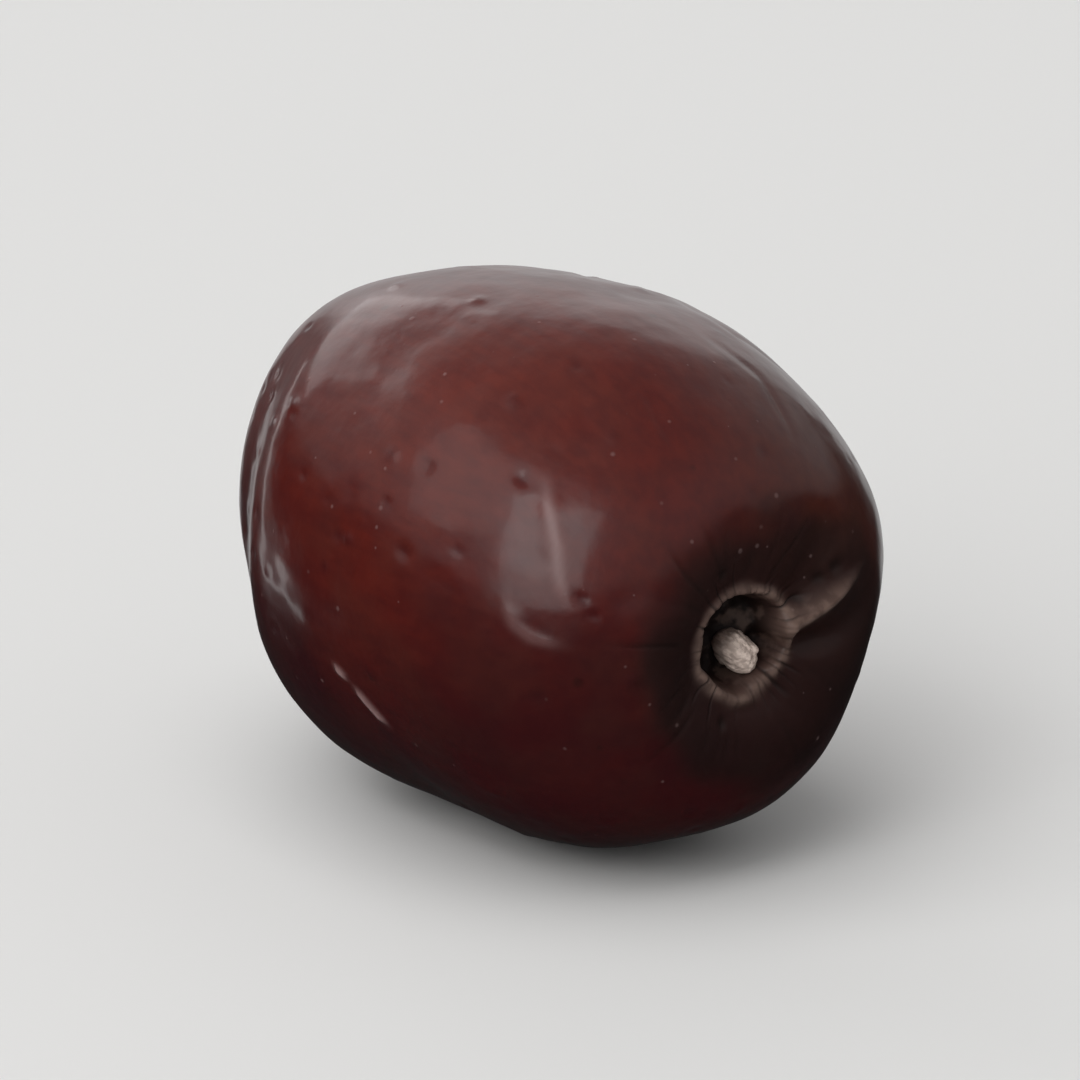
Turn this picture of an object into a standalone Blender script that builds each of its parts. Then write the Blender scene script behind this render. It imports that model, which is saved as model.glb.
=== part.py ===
"""A whole ripe jujube lying on its side, as one solid.

The long axis runs along X with the stem end at +X. Z is up and the fruit rests on z = 0.
A round body is turned first, and formulas then give it its flats, creases, pit and scars.
"""

import math

import bmesh
import bpy
from mathutils import Matrix, Vector

MM = 0.001

# Main sizes of the body, from its widest section to each end
WIDTH = 20.8 * MM
HEIGHT = 21.4 * MM
STEM_REACH = 12.95 * MM
APEX_REACH = 14.9 * MM
STEM_BLUNTNESS = 2.9
APEX_BLUNTNESS = 2.2
STEM_DROP = 0.9 * MM
STEM_DRIFT = 0.6 * MM

# Basin at the stem end, and the pit in its middle
BASIN_DEPTH = 2.3 * MM
BASIN_RADIUS = 3.8 * MM
BASIN_PLACE = Vector((0.0, -0.5, 0.4)) * MM
BASIN_PLACE_REACH = 4.5 * MM
PIT_DEPTH = 1.25 * MM
PIT_RADIUS = 1.75 * MM
PIT_WALL = 0.42 * MM
LIP_RADIUS = 2.08 * MM
LIP_WIDTH = 0.26 * MM
LIP_HEIGHT = 0.22 * MM

# Dried stub of the stalk, low in the pit and slanted
SCAR_Y = 0.50 * MM
SCAR_Z = -0.70 * MM
SCAR_HALF_LENGTH = 0.95 * MM
SCAR_HALF_WIDTH = 0.68 * MM
SCAR_HEIGHT = 1.00 * MM
SCAR_SLANT = math.radians(-42)

# Folds that run out from the pit over the shoulder: angle, height, half-width
FOLDS = (
    (math.radians(44), -0.24 * MM, math.radians(13)),
    (math.radians(96), -0.14 * MM, math.radians(17)),
    (math.radians(158), 0.16 * MM, math.radians(16)),
    (math.radians(214), -0.16 * MM, math.radians(15)),
    (math.radians(287), 0.20 * MM, math.radians(18)),
    (math.radians(357), -0.36 * MM, math.radians(10)),
)
FOLD_RADIUS = 4.2 * MM
FOLD_SPREAD = 1.9 * MM
FOLD_TWIST = math.radians(5.0) / MM

# Sharp ridge from the pit to the shoulder, in the plane of the end: its two ends as (y, z)
RIDGE_START = Vector((2.20, 0.38)) * MM
RIDGE_END = Vector((5.75, 2.30)) * MM
RIDGE_START_WIDTH = 0.44 * MM
RIDGE_END_WIDTH = 0.20 * MM
RIDGE_HEIGHT = 0.58 * MM
RIDGE_FADE = 0.70

# Blossom end: a dimple with a dry point in it
DIMPLE_DEPTH = 0.55 * MM
DIMPLE_RADIUS = 1.9 * MM
POINT_HEIGHT = 0.45 * MM
POINT_RADIUS = 0.42 * MM

# Broad unevenness of the section: turns round the fruit, share of the radius, phase
LOBES = (
    (2, 0.012, math.radians(35)),
    (3, 0.014, math.radians(70)),
    (5, 0.006, math.radians(200)),
)

# Shallow flats, dents and swellings: x, angle round X from +Y, radius, depth
DENTS = (
    (6.6 * MM, math.radians(42), 4.8 * MM, 0.55 * MM),
    (9.6 * MM, math.radians(338), 4.6 * MM, 1.00 * MM),
    (2.0 * MM, math.radians(326), 5.0 * MM, 0.26 * MM),
    (7.2 * MM, math.radians(268), 4.6 * MM, 0.75 * MM),
    (0.0 * MM, math.radians(236), 4.0 * MM, 0.34 * MM),
    (4.5 * MM, math.radians(118), 5.0 * MM, 0.22 * MM),
    (-4.0 * MM, math.radians(62), 6.0 * MM, 0.30 * MM),
    (-7.5 * MM, math.radians(318), 4.6 * MM, 0.34 * MM),
    (-2.5 * MM, math.radians(352), 4.4 * MM, 0.22 * MM),
    (2.0 * MM, math.radians(205), 3.4 * MM, 0.18 * MM),
    (-9.5 * MM, math.radians(128), 5.0 * MM, -0.85 * MM),
    (-6.0 * MM, math.radians(220), 5.2 * MM, -0.60 * MM),
)

# How much a dent's direction follows the long axis
DENT_LEAN = 0.35

# Long furrow across the flank near the blossom end
FURROW_MIDDLE = Vector((-9.2, -7.6, 2.2)) * MM
FURROW_ACROSS = Vector((0.88, -0.47, 0.0))
FURROW_WIDTH = 1.9 * MM
FURROW_HALF_SPAN = 5.6 * MM
FURROW_DEPTH = 0.52 * MM

# Resting spot: how much of the belly is flattened
FLAT_DEPTH = 0.31 * MM

# Mesh density
SEGMENTS = 96
FLANK_STATIONS = 24
STEM_PIT_RADII = (0.30, 0.62, 0.94, 1.24, 1.46, 1.60, 1.72, 1.84, 1.96, 2.08, 2.22, 2.45)
STEM_BASIN_RADII = (2.8, 3.2, 3.6, 4.0, 4.4, 4.9, 5.4, 6.0, 6.6)
STEM_RADII = STEM_PIT_RADII + STEM_BASIN_RADII
APEX_RADII = (0.16, 0.34, 0.56, 0.95, 1.50, 2.10, 2.80)
MERGE_DISTANCE = 0.0001 * MM

SKIN_COLOUR = (0.125, 0.018, 0.016, 1.0)
SKIN_ROUGHNESS = 0.36


def clear_scene():
    for item in list(bpy.data.objects):
        bpy.data.objects.remove(item, do_unlink=True)


def hump(distance, width):
    """One at the middle and fading to nothing past the width."""
    return math.exp(-((distance / width) ** 2))


def ease(value):
    """Smooth step from 0 to 1."""
    value = min(max(value, 0.0), 1.0)
    return value * value * (3.0 - 2.0 * value)


def reach_at(radius, reach, bluntness):
    """How far the plain rounded end stands out at a distance from the axis."""
    share = min(radius / (0.5 * HEIGHT), 1.0)
    return reach * (1.0 - share**2) ** (1.0 / bluntness)


def profile():
    """Half outline as (x, radius), from the blossom end to the stem end."""
    full = 0.5 * HEIGHT
    outline = [(-reach_at(r * MM, APEX_REACH, APEX_BLUNTNESS), r * MM) for r in (0.0,) + APEX_RADII]
    start = math.asin(APEX_RADII[-1] * MM / full)
    end = math.pi - math.asin(STEM_RADII[-1] * MM / full)
    for step in range(1, FLANK_STATIONS):
        turn = start + (end - start) * step / FLANK_STATIONS
        radius = full * math.sin(turn)
        if turn < 0.5 * math.pi:
            outline.append((-reach_at(radius, APEX_REACH, APEX_BLUNTNESS), radius))
        else:
            outline.append((reach_at(radius, STEM_REACH, STEM_BLUNTNESS), radius))
    outline += [(reach_at(r * MM, STEM_REACH, STEM_BLUNTNESS), r * MM) for r in STEM_RADII[::-1] + (0.0,)]
    return outline


def angle_between(first, second):
    """Difference of two angles, between minus pi and pi."""
    return math.remainder(first - second, 2.0 * math.pi)


def stem_relief(y, z):
    """Height of the basin, its folds, the pit, its lip and the scar over the plain end."""
    radius = math.hypot(y, z)
    angle = math.atan2(z, y) - FOLD_TWIST * (radius - FOLD_RADIUS)
    height = -BASIN_DEPTH * hump(radius, BASIN_RADIUS)
    ring = math.exp(-(((radius - FOLD_RADIUS) / FOLD_SPREAD) ** 4))
    for middle, rise, spread in FOLDS:
        height += rise * ring * hump(angle_between(angle, middle), spread)
    height += ridge_relief(Vector((y, z)))
    height += LIP_HEIGHT * hump(radius - LIP_RADIUS, LIP_WIDTH)
    height -= PIT_DEPTH * ease((PIT_RADIUS + 0.5 * PIT_WALL - radius) / PIT_WALL)
    return height + scar_relief(y - SCAR_Y, z - SCAR_Z)


def ridge_relief(spot):
    """Height of the sharp ridge, which narrows away from the pit and sinks in at both ends."""
    run = RIDGE_END - RIDGE_START
    offset = spot - RIDGE_START
    along = offset.dot(run) / run.length_squared
    across = (offset - run * along).length
    width = RIDGE_START_WIDTH + (RIDGE_END_WIDTH - RIDGE_START_WIDTH) * ease(along)
    fade = ease(1.0 + along / RIDGE_FADE) * ease((1.0 - along) / RIDGE_FADE)
    return RIDGE_HEIGHT * fade * hump(across, width)


def scar_relief(y, z):
    """Rounded knob left by the stalk, longer than it is wide."""
    along = y * math.cos(SCAR_SLANT) + z * math.sin(SCAR_SLANT)
    across = z * math.cos(SCAR_SLANT) - y * math.sin(SCAR_SLANT)
    spread = math.hypot(along / SCAR_HALF_LENGTH, across / SCAR_HALF_WIDTH)
    return SCAR_HEIGHT * math.exp(-(spread**4))


def apex_relief(radius):
    """Dimple of the blossom end with its dry point."""
    return POINT_HEIGHT * hump(radius, POINT_RADIUS) - DIMPLE_DEPTH * hump(radius, DIMPLE_RADIUS)


def lobed(point):
    """Make the turned section slightly oval and uneven."""
    angle = math.atan2(point.z, point.y)
    scale = 1.0 + sum(share * math.cos(turns * angle - phase) for turns, share, phase in LOBES)
    return Vector((point.x, point.y * scale * WIDTH / HEIGHT, point.z * scale))


def dent_depth(point):
    """Total depth of the dents and the long furrow at a point of the skin."""
    depth = 0.0
    for x, angle, radius, deepest in DENTS:
        middle = Vector((x, 0.5 * WIDTH * math.cos(angle), 0.5 * HEIGHT * math.sin(angle)))
        depth += deepest * hump((point - middle).length, radius)
    if point.y < 0.0:
        offset = point - FURROW_MIDDLE
        length_fade = math.exp(-((offset.z / FURROW_HALF_SPAN) ** 4))
        depth += FURROW_DEPTH * hump(offset.dot(FURROW_ACROSS), FURROW_WIDTH) * length_fade
    return depth


def shaped(point):
    """Move one point of the turned body to its place on the fruit."""
    moved = point.copy()
    radius = math.hypot(point.y, point.z)
    if point.x > 0.0:
        moved.x += stem_relief(point.y, point.z)
        moved += BASIN_PLACE * hump(radius, BASIN_PLACE_REACH)
    else:
        moved.x -= apex_relief(radius)
    moved = lobed(moved)
    outward = Vector((DENT_LEAN * moved.x, moved.y, moved.z)).normalized()
    moved -= outward * dent_depth(moved)
    lean = ease(moved.x / STEM_REACH)
    moved += Vector((0.0, STEM_DRIFT * lean, -STEM_DROP * lean))
    return moved


def turned_body():
    """Spin the half outline into a closed body."""
    body = bmesh.new()
    ring = [body.verts.new((x, radius, 0.0)) for x, radius in profile()]
    edges = [body.edges.new(pair) for pair in zip(ring, ring[1:])]
    bmesh.ops.spin(
        body,
        geom=ring + edges,
        cent=(0.0, 0.0, 0.0),
        axis=(1.0, 0.0, 0.0),
        angle=2.0 * math.pi,
        steps=SEGMENTS,
        use_merge=True,
    )
    bmesh.ops.remove_doubles(body, verts=body.verts, dist=MERGE_DISTANCE)
    return body


def rest_on_ground(body):
    """Flatten the resting spot, and set the middle of the box over the origin."""
    floor = min(vert.co.z for vert in body.verts) + FLAT_DEPTH
    for vert in body.verts:
        vert.co.z = max(vert.co.z, floor)
    low = Vector([min(vert.co[axis] for vert in body.verts) for axis in range(3)])
    high = Vector([max(vert.co[axis] for vert in body.verts) for axis in range(3)])
    shift = Vector((-0.5 * (low.x + high.x), -0.5 * (low.y + high.y), -low.z))
    bmesh.ops.transform(body, matrix=Matrix.Translation(shift), verts=body.verts)


def skin_material():
    material = bpy.data.materials.new("skin")
    material.use_nodes = True
    shader = material.node_tree.nodes["Principled BSDF"]
    shader.inputs["Base Color"].default_value = SKIN_COLOUR
    shader.inputs["Roughness"].default_value = SKIN_ROUGHNESS
    shader.inputs["Metallic"].default_value = 0.0
    return material


def make_fruit():
    body = turned_body()
    for vert in body.verts:
        vert.co = shaped(vert.co)
    rest_on_ground(body)
    bmesh.ops.triangulate(body, faces=body.faces)
    bmesh.ops.recalc_face_normals(body, faces=body.faces)
    mesh = bpy.data.meshes.new("fruit")
    body.to_mesh(mesh)
    body.free()
    mesh.shade_smooth()
    mesh.materials.append(skin_material())
    fruit = bpy.data.objects.new("fruit", mesh)
    bpy.context.scene.collection.objects.link(fruit)
    return fruit


def main():
    clear_scene()
    make_fruit()


main()
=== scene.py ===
"""A ripe jujube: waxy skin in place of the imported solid, the dry stub of its stalk and a small studio."""

import math

import bmesh
import bpy
import numpy as np
from bpy.props import FloatProperty, FloatVectorProperty, IntProperty, PointerProperty
from bpy.types import Operator, Panel, PropertyGroup
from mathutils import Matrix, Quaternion, Vector


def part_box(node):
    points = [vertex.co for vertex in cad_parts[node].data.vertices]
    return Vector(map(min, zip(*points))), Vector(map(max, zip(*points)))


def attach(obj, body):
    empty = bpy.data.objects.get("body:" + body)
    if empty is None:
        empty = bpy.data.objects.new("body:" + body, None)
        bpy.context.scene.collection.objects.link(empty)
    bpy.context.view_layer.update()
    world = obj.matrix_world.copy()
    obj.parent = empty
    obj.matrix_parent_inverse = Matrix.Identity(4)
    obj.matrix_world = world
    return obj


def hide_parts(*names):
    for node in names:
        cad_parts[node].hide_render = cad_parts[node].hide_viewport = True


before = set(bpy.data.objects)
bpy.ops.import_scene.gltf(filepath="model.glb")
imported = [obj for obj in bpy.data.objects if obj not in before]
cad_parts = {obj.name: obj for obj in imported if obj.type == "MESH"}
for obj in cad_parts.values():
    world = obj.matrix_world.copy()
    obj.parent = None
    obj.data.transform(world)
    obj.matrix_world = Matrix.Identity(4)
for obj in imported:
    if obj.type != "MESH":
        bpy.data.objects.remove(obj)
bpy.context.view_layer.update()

bl_info = {
    "name": "Jujube",
    "version": (1, 0, 0),
    "blender": (4, 5, 0),
    "location": "3D View > Sidebar > Jujube",
    "description": "Builds a ripe jujube with its glossy skin, stem pit and stalk scar",
    "category": "Add Mesh",
}

FRUIT_NODE = "fruit"
BODY = "root"
MM = 0.001

# Folds that run out from the pit over the shoulder: angle, height in mm, half-width; angles in degrees
FOLDS = (
    (44, -0.24, 13),
    (96, -0.14, 17),
    (158, 0.16, 16),
    (214, -0.16, 15),
    (287, 0.20, 18),
    (357, -0.36, 10),
)
FOLD_RADIUS = 4.2 * MM
FOLD_SPREAD = 1.9 * MM
FOLD_TWIST = math.radians(5.0) / MM

# Sharp ridge from the pit to the shoulder, in the plane of the end: its two ends as (y, z)
RIDGE_START = Vector((2.20, 0.38)) * MM
RIDGE_END = Vector((5.75, 2.30)) * MM
RIDGE_START_WIDTH = 0.44 * MM
RIDGE_END_WIDTH = 0.20 * MM
RIDGE_HEIGHT = 0.58 * MM
RIDGE_FADE = 0.70

# Broad unevenness of the section: turns round the fruit, share of the radius, phase in degrees
LOBES = (
    (2, 0.012, 35),
    (3, 0.014, 70),
    (5, 0.006, 200),
)

# Shallow flats, dents and swellings, in mm and degrees: x, angle round X from +Y, radius, depth
DENTS = (
    (6.6, 42, 4.8, 0.55),
    (9.6, 338, 4.6, 1.00),
    (2.0, 326, 5.0, 0.26),
    (7.2, 268, 4.6, 0.75),
    (0.0, 236, 4.0, 0.34),
    (4.5, 118, 5.0, 0.22),
    (-4.0, 62, 6.0, 0.30),
    (-7.5, 318, 4.6, 0.34),
    (-2.5, 352, 4.4, 0.22),
    (2.0, 205, 3.4, 0.18),
    (-9.5, 128, 5.0, -0.85),
    (-6.0, 220, 5.2, -0.60),
)

# Long furrow across the flank near the blossom end
FURROW_MIDDLE = Vector((-9.2, -7.6, 2.2)) * MM
FURROW_ACROSS = Vector((0.88, -0.47, 0.0))
FURROW_WIDTH = 1.9 * MM
FURROW_HALF_SPAN = 5.6 * MM
FURROW_DEPTH = 0.52 * MM

# Creases of the skin, in mm and degrees: half-width, depth (a raised scuff is negative), paleness, and
# points as (x, angle); the paleness is partly scuffed skin and partly a painted highlight
CREASES = (
    (0.24, -0.035, 0.35, ((7.4, 134), (8.2, 141), (8.9, 147), (9.7, 160))),
    (0.34, 0.045, 0.0, ((7.2, 139), (8.0, 147), (8.6, 155))),
    (0.26, -0.040, 0.25, ((7.9, 164), (8.4, 169), (9.0, 171), (9.9, 171))),
    (0.17, -0.120, 1.0, ((-0.7, 195), (-0.2, 197))),
    (0.17, -0.140, 1.0, ((0.2, 199), (0.7, 203), (1.2, 207))),
    (0.30, 0.060, 0.0, ((-0.6, 57), (1.8, 59), (3.7, 58), (4.8, 38))),
    (0.26, 0.050, 0.0, ((4.7, 72), (5.9, 69), (7.0, 65), (9.8, 64))),
    (0.30, 0.055, 0.0, ((7.3, 101), (8.4, 104), (9.5, 106))),
    (0.24, 0.035, 0.0, ((5.4, 112), (6.2, 114), (7.4, 121))),
    (0.34, 0.040, 0.0, ((10.6, 212), (11.2, 216), (11.9, 219))),
    (0.36, 0.060, 0.0, ((-3.0, 18), (-1.0, 26), (1.5, 30))),
    (0.36, 0.070, 0.0, ((-8.4, 295), (-6.8, 299), (-4.8, 306))),
    (0.34, 0.050, 0.0, ((-6.4, 58), (-4.6, 62), (-3.2, 71))),
    (0.30, 0.060, 0.0, ((1.0, 338), (2.6, 346), (4.6, 349))),
)
UNROLLED_RADIUS = 10.3 * MM
CREASE_END = 0.25
CREASE_FADE = 0.3

# Pinholes in the basin, painted dark as shade in them, in mm and degrees: distance from the axis, angle,
# radius, depth
PINHOLES = (
    (3.85, 31, 0.24, 0.10),
    (4.70, 30, 0.26, 0.12),
    (2.75, 27, 0.20, 0.08),
    (3.30, 111, 0.24, 0.10),
    (3.10, 248, 0.20, 0.08),
)

# The dark stain of the basin, partly darker skin round the stem and partly painted shade in the hollow,
# runs further out on one side
STAIN_AND_SHADE_RADIUS = 6.1 * MM
STAIN_AND_SHADE_EDGE = 2.2 * MM
STAIN_AND_SHADE_WANDER = 0.45 * MM
STAIN_AND_SHADE_SIDE = math.radians(-12)
STAIN_AND_SHADE_SIDE_REACH = 2.4 * MM
STAIN_AND_SHADE_SIDE_SPREAD = math.radians(55)

# Flush on the upper flank, partly the skin's redder tone and partly painted light where the top faces the
# lights: place and radius
FLUSH_AND_LIGHT_PLACE = np.array((3.4, -5.6, 18.0)) * MM
FLUSH_AND_LIGHT_RADIUS = 6.5 * MM

# Fine relief of the skin, from seeded draws
RELIEF_SEED = 11
LIP_CRACK_DEPTH = 0.07 * MM
LIP_WANDER = 0.07 * MM
LIP_RAGGEDNESS = 0.30
PIT_ROUGHNESS = 0.05 * MM

# Narrow wrinkles round an end: step of the seed, number, reach from the axis, range of widths in mm
STEM_PUCKERS = (0, 34, 5.6 * MM, (0.10, 0.20))
APEX_PUCKERS = (1, 22, 2.8 * MM, (0.10, 0.20))
LIP_CRACKS = (12, 46, 2.9 * MM, (0.030, 0.070))

# How they vary: scatter, sideways wander and its waves, start and run as shares of the reach, strength
PUCKER_SCATTER = 0.4
PUCKER_WANDER = 0.06
PUCKER_WAVES = (0.8, 1.6)
PUCKER_PHASES = (0.0, 6.0)
PUCKER_START = (0.38, 0.55)
PUCKER_RUN = (0.3, 0.8)
PUCKER_FADE_IN = 0.2
PUCKER_FADE_OUT = 0.35
PUCKER_STRENGTH = (0.2, 1.0)
PUCKER_AXIS = 0.1 * MM

# Scattered dimples: step of the seed, number, radii in mm, slopes, share that is raised
DIMPLES = (4, 110, (0.5, 1.3), (0.008, 0.035), 0.0)
PORES = (8, 170, (0.18, 0.32), (0.08, 0.30), 0.35)
DIMPLE_LIMIT = 0.93
DIMPLE_CUTOFF = 3.0
# Painted shade in the middles of the wide dimples, as a share of that in the pores
DIMPLE_SHADE_TONE = 0.6

# Random waves: step of the seed, range of wavelengths, number; those of the stub are on a ball of radius 1
LIP_WAVES = (10, (1.0 * MM, 2.4 * MM), 16)
LIP_TOP_WAVES = (2, (0.5 * MM, 1.4 * MM), 24)
PIT_WAVES = (13, (0.35 * MM, 0.9 * MM), 24)
SWELL_WAVES = (3, (3.0 * MM, 7.0 * MM), 20)
RIPPLE_WAVES = (5, (0.9 * MM, 2.0 * MM), 24)
STAIN_AND_SHADE_WAVES = (9, (2.0 * MM, 5.0 * MM), 16)
STUB_WAVES = (6, (0.45, 1.1), 18)
FIBRE_WAVES = (7, (0.18, 0.36), 22)

# The dents push along the axis by this share, and relief turns to run along the axis past this distance
DENT_LEAN = 0.35
CAP_START = 8.0 * MM
CAP_BLEND = 4.0 * MM
TINY = 1e-9

# Brown tissue round the point of the blossom end
TIP_STAIN_RADIUS = 0.9 * MM
TIP_STAIN_SHARE = 0.6

# Rings of the mesh round each end, as bands of (outer radius in mm, count), and along the flank
APEX_RINGS = ((3.0, 24),)
STEM_RINGS = ((1.30, 11), (2.55, 38), (4.60, 22))
FLANK_RINGS = 150
OUTLINE_SAMPLES = 4000
MERGE_DISTANCE = 0.0001 * MM

# The mesh is finer toward this angle round the axis
FINE_SIDE = math.radians(146)
FINE_SHARE = 0.35

# Stub of the stalk: how nearly it is a stick, its worn top and fibres, and where its side begins
STUB_SEGMENTS = 96
STUB_RINGS = 64
STUB_FULLNESS = 0.78
STUB_POLE = 0.001
STUB_RAGGEDNESS = 0.05
STUB_FIBRES = 0.060
STUB_FIBRE_STRETCH = 0.2
STUB_FIBRE_TOP = 1.2
STUB_SIDE_TOP = 0.25
STUB_SIDE_EDGE = 1.1

# The pit's floor is where its mask is above this
PIT_INSIDE = 0.999

# Patterns of the materials: sizes in mm, and the range of the noise that a blotch shows
WIDE_BLOTCHES = {"Size": 8.0, "Low": 0.32, "High": 0.68, "Detail": 2.0, "Distortion": 0.4}
MIDDLING_BLOTCHES = {"Size": 2.4, "Low": 0.30, "High": 0.72, "Detail": 2.0}
SMALL_BLOTCHES = {"Size": 0.7, "Low": 0.28, "High": 0.76}
STREAKS = {"Size": 0.5, "Low": 0.30, "High": 0.74}
FRECKLES = {"Spacing": 0.95, "Radius": 0.11, "Share": 0.55}
DOTS = {"Spacing": 2.2, "Radius": 0.24, "Share": 0.40}
PITH_FIBRES = {"Size": 0.16, "Low": 0.35, "High": 0.65}
PITH_STAINS = {"Size": 0.8, "Low": 0.40, "High": 0.70}
STREAK_STRETCH = (0.22, 1.0, 1.0)
FIBRE_STRETCH = (0.25, 1.0, 1.0)

# Each speck's own size, as a share of the radius: the least and what is added, and how soft its edge is
SPECK_LEAST = 0.4
SPECK_GROWTH = 0.8
SPECK_EDGE = (0.3, 1.1)

# The skin turns from maroon to red with wide blotches and with height, which paints shade low down and
# light higher up, and to brown on the far upper stem side
SHADE_HEIGHT_RANGE = (3.0 * MM, 15.0 * MM)
STEM_SIDE_RANGE = (3.0 * MM, 11.0 * MM)
FAR_SIDE_RANGE = (-3.0 * MM, 6.0 * MM)
RED_BY_BLOTCH = 0.45
LIGHT_BY_HEIGHT = 0.75
RED_RANGE = (0.25, 0.95)
BROWN_SIDE = 0.8
BROWN_BLOTCHES = 0.22

# How strongly each layer colours what lies under it
FLUSH_AND_LIGHT_SHARE = 0.55
SMALL_SHARE = 0.18
STREAK_SHARE = 0.30
BASIN_SHADE_SHARE = 0.72
PUCKER_SHADE_SHARE = 0.45
SPOT_SHADE_SHARE = 0.45
SCUFF_AND_GLINT_SHARE = 0.65
FRECKLE_SHARE = 0.16
DOT_SHARE = 0.35
CRACK_SHADE_SHARE = 0.80
PITH_FIBRE_SHARE = 0.45
PITH_STAIN_SHARE = 0.5

# Cork by the small blotches: range of the blotches, and share of cork from the one to the other
# The ridge's cork is partly the crest's corky skin and partly a painted highlight on it
RIDGE_CORK_AND_HIGHLIGHT = (0.2, 0.8, 0.50, 0.90)
LIP_CORK = (0.0, 1.0, 0.55, 1.0)
PIT_CORK = (0.30, 0.85, 0.0, 0.45)

# Gloss of the skin and of the pith
SKIN_ROUGHNESS = (0.28, 0.34)
DULL_ROUGHNESS = 0.35
DULL_BASIN = 0.70
DULL_FRECKLES = 0.5
COAT_WEIGHT = 0.35
COAT_ROUGHNESS = 0.12
SKIN_IOR = 1.40
PITH_ROUGHNESS = (0.55, 0.8)

# Grain too fine for the mesh
GRAIN_SIZE = 0.28 * MM
GRAIN_DETAIL = 3.0
GRAIN_SHARE = 0.30
GRAIN_FRECKLES = 0.5
PEEL_SIZE = 0.75 * MM
PEEL_DETAIL = 1.0
SKIN_BUMP = 0.35
SKIN_BUMP_DEPTH = 0.05 * MM
PITH_BUMP = 0.6
PITH_BUMP_DEPTH = 0.06 * MM

# Soft boxes, in metres and degrees: name, turn from the camera, height angle, tilt, distance, width and
# height, brightness, mirrored in the skin
LIGHTS = (
    ("backdrop", 178, 8, 0.0, 1.30, (1.10, 1.45), 0.60, True),
    ("left_panel", -145, 25, 0.0, 1.20, (0.86, 0.52), 1.25, True),
    ("left_strip", -135, -11, 42, 0.90, (0.055, 0.68), 2.30, True),
    ("window_glow", -56, 41, 0.0, 1.35, (1.62, 0.85), 0.78, True),
    ("window", -27, 28, 0.0, 1.20, (0.84, 0.86), 1.55, True),
    ("fill", -60, 74, 0.0, 1.50, (1.60, 1.60), 1.45, False),
)

# Even light of the room: heights where it starts, is full and fades again, its share low and overhead
ROOM_START = 0.10
ROOM_END = 0.24
ROOM_ROOF = 0.60
ROOM_LOW = 0.06
ROOM_ZENITH = 0.55

# Floor and camera
FLOOR_SIZE = 3.0
FLOOR_SEGMENTS = 8
FLOOR_ROUGHNESS = 0.7
FLOOR_SPECULAR = 0.15
SENSOR_WIDTH = 36.0
CLIP_START = 0.01
CLIP_END = 20.0


class JujubeShape(PropertyGroup):
    """Sizes of the fruit."""

    width: FloatProperty(
        name="Width", description="Thickness across the fruit", default=20.8 * MM, unit="LENGTH"
    )
    height: FloatProperty(
        name="Height", description="Thickness from below to above", default=21.4 * MM, unit="LENGTH"
    )
    stem_reach: FloatProperty(
        name="Stem reach", description="From the widest section to the stem end",
        default=12.95 * MM, unit="LENGTH",
    )
    apex_reach: FloatProperty(
        name="Blossom reach", description="From the widest section to the blossom end",
        default=14.9 * MM, unit="LENGTH",
    )
    stem_bluntness: FloatProperty(
        name="Stem bluntness", description="Higher is squarer at the stem end", default=2.9
    )
    apex_bluntness: FloatProperty(
        name="Blossom bluntness", description="Higher is squarer at the tip", default=2.2
    )
    stem_drop: FloatProperty(
        name="Stem drop", description="How much lower the stem end lies", default=0.9 * MM, unit="LENGTH"
    )
    stem_drift: FloatProperty(
        name="Stem drift", description="How far the stem end leans to +Y", default=0.6 * MM, unit="LENGTH"
    )
    basin_depth: FloatProperty(
        name="Basin depth", description="Depth of the stem basin", default=2.3 * MM, unit="LENGTH"
    )
    basin_radius: FloatProperty(
        name="Basin radius", description="Spread of the stem basin", default=3.8 * MM, unit="LENGTH"
    )
    basin_y: FloatProperty(
        name="Basin Y", description="Sideways place of the basin", default=-0.5 * MM, unit="LENGTH"
    )
    basin_z: FloatProperty(
        name="Basin Z", description="Upward place of the basin", default=0.4 * MM, unit="LENGTH"
    )
    basin_shift: FloatProperty(
        name="Basin shift", description="How far round it that shift reaches",
        default=4.5 * MM, unit="LENGTH",
    )
    pit_depth: FloatProperty(
        name="Pit depth", description="Depth of the pit below its lip", default=1.25 * MM, unit="LENGTH"
    )
    pit_radius: FloatProperty(
        name="Pit radius", description="Radius of the pit", default=1.75 * MM, unit="LENGTH"
    )
    pit_wall: FloatProperty(
        name="Pit wall", description="Width that the wall slopes over", default=0.42 * MM, unit="LENGTH"
    )
    lip_radius: FloatProperty(
        name="Lip radius", description="Radius of the corky lip", default=2.08 * MM, unit="LENGTH"
    )
    lip_width: FloatProperty(
        name="Lip width", description="Half-width of the lip", default=0.26 * MM, unit="LENGTH"
    )
    lip_height: FloatProperty(
        name="Lip height", description="Height of the lip", default=0.22 * MM, unit="LENGTH"
    )
    dimple_depth: FloatProperty(
        name="Tip dimple depth", description="Dimple at the blossom end", default=0.55 * MM, unit="LENGTH"
    )
    dimple_radius: FloatProperty(
        name="Tip dimple radius", description="Spread of that dimple", default=1.9 * MM, unit="LENGTH"
    )
    point_height: FloatProperty(
        name="Point height", description="Dry point in the dimple", default=0.45 * MM, unit="LENGTH"
    )
    point_radius: FloatProperty(
        name="Point radius", description="Radius of the dry point", default=0.42 * MM, unit="LENGTH"
    )
    flat_depth: FloatProperty(
        name="Flat depth", description="How much of the belly is flat", default=0.31 * MM, unit="LENGTH"
    )
    wrinkle_depth: FloatProperty(
        name="Wrinkle depth", description="Depth of the puckers at the ends",
        default=0.045 * MM, unit="LENGTH",
    )
    swell_height: FloatProperty(
        name="Swell", description="Height of the skin's slow waves", default=0.030 * MM, unit="LENGTH"
    )
    ripple_height: FloatProperty(
        name="Ripple", description="Height of its small ripples", default=0.006 * MM, unit="LENGTH"
    )
    segments: IntProperty(name="Segments", description="Faces round the fruit", default=398, min=24)


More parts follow.
